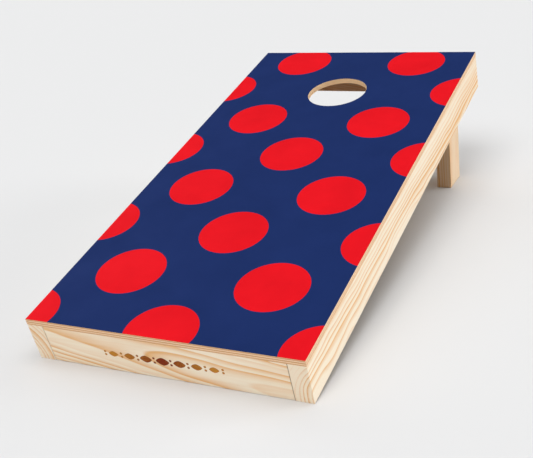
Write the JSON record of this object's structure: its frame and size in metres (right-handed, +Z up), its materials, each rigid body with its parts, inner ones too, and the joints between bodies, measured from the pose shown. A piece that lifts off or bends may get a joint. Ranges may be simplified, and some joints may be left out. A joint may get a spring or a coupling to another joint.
{
  "type": "cornhole board",
  "caption": "Sloping bag-toss game board with a round bag hole, a polka-dot vinyl top on plywood, a lumber frame and two fold-under rear legs.",
  "frame": {"origin": "centre of the board's footprint, on the floor it stands on", "axes": "+Z up; +Y from the low front apron to the high back apron, level; +X to the right as seen from the front"},
  "size_m": [0.6096, 1.2162, 0.333],
  "materials": {
    "plywood": "raw sanded plywood, visible plies on the edges",
    "vinyl": "satin laminated vinyl, navy with red dots",
    "pine": "raw planed pine",
    "zinc_steel": "bright zinc plate"
  },
  "bodies": {
    "frame": {"deck_panel": "plywood", "deck_decal": "vinyl", "front_apron": "pine", "back_apron": "pine", "left_side_rail": "pine", "right_side_rail": "pine", "center_brace": "pine", "left_hanger_bolt": "zinc_steel", "right_hanger_bolt": "zinc_steel", "front_left_upper_pocket_screw": "zinc_steel", "front_left_lower_pocket_screw": "zinc_steel", "front_left_deck_screw": "zinc_steel", "front_right_upper_pocket_screw": "zinc_steel", "front_right_lower_pocket_screw": "zinc_steel", "front_right_deck_screw": "zinc_steel", "brace_left_upper_pocket_screw": "zinc_steel", "brace_left_lower_pocket_screw": "zinc_steel", "brace_left_deck_screw": "zinc_steel", "brace_right_upper_pocket_screw": "zinc_steel", "brace_right_lower_pocket_screw": "zinc_steel", "brace_right_deck_screw": "zinc_steel", "back_left_upper_pocket_screw": "zinc_steel", "back_left_lower_pocket_screw": "zinc_steel", "back_left_deck_screw": "zinc_steel", "back_right_upper_pocket_screw": "zinc_steel", "back_right_lower_pocket_screw": "zinc_steel", "back_right_deck_screw": "zinc_steel", "left_rail_deck_screw_1": "zinc_steel", "left_rail_deck_screw_2": "zinc_steel", "left_rail_deck_screw_3": "zinc_steel", "left_rail_deck_screw_4": "zinc_steel", "right_rail_deck_screw_1": "zinc_steel", "right_rail_deck_screw_2": "zinc_steel", "right_rail_deck_screw_3": "zinc_steel", "right_rail_deck_screw_4": "zinc_steel"},
    "left_leg": {"left_leg": "pine"},
    "right_leg": {"right_leg": "pine"},
    "left_washer": {"left_washer": "zinc_steel"},
    "right_washer": {"right_washer": "zinc_steel"},
    "left_wing_nut": {"left_wing_nut": "zinc_steel"},
    "right_wing_nut": {"right_wing_nut": "zinc_steel"}
  },
  "joints": [
    {"name": "left_leg_fold", "type": "hinge", "parent": "frame", "child": "left_leg", "pos_m": [-0.24725, 0.49077, 0.25488], "axis": [-1, 0, 0], "range_deg": [0, 79]},
    {"name": "left_washer_slide", "type": "slide", "parent": "frame", "child": "left_washer", "axis": [1, 0, 0], "range_m": [0, 0.002]},
    {"name": "left_nut_turn", "type": "hinge", "parent": "left_washer", "child": "left_wing_nut", "pos_m": [-0.2256, 0.49077, 0.25488], "axis": [1, 0, 0], "range_deg": [0, 450]},
    {"name": "right_leg_fold", "type": "hinge", "parent": "frame", "child": "right_leg", "pos_m": [0.24725, 0.49077, 0.25488], "axis": [-1, 0, 0], "range_deg": [0, 79]},
    {"name": "right_washer_slide", "type": "slide", "parent": "frame", "child": "right_washer", "axis": [-1, 0, 0], "range_m": [0, 0.002]},
    {"name": "right_nut_turn", "type": "hinge", "parent": "right_washer", "child": "right_wing_nut", "pos_m": [0.2256, 0.49077, 0.25488], "axis": [-1, 0, 0], "range_deg": [0, 450]}
  ],
  "couplings": [
    {"joint": "left_washer_slide", "follows": "left_nut_turn", "m_per_rad": 0.00025266},
    {"joint": "right_washer_slide", "follows": "right_nut_turn", "m_per_rad": 0.00025266}
  ]
}
